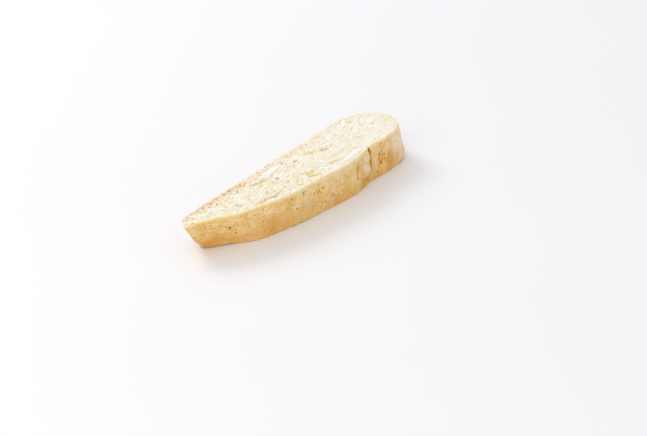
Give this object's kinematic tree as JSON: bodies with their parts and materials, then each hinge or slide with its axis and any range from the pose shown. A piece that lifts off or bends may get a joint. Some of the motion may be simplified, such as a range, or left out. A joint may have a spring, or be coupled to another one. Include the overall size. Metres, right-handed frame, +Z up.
{
  "type": "almond biscotti slice",
  "caption": "Long slanting slice of twice-baked almond biscotti with a golden domed crust, pale cut faces set with almond slivers, and a split in the crust, lying flat.",
  "frame": {"origin": "centre of the slice's box, on the surface it lies on", "axes": "+X along the slice from its thin tip to its broad round end, -Y the side of the domed top crust, +Y the flat base crust, +Z up out of the upper cut face"},
  "size_m": [0.1332, 0.029, 0.0161],
  "materials": {
    "baked_dough": "matt dry baked dough, golden crust round pale crumb",
    "almond": "smooth creamy nut flesh, faint satin sheen",
    "toasted_almond": "pale toasted nut under a thin skin of crust"
  },
  "bodies": {
    "root": {"slice": "baked_dough", "almond_upper_1": "almond", "almond_upper_2": "almond", "almond_upper_3": "almond", "almond_upper_4": "almond", "almond_upper_5": "almond", "almond_upper_6": "almond", "almond_upper_7": "almond", "almond_upper_8": "almond", "almond_lower_1": "almond", "almond_lower_2": "almond", "almond_lower_3": "almond", "almond_lower_4": "almond", "almond_crust": "toasted_almond"}
  },
  "joints": []
}
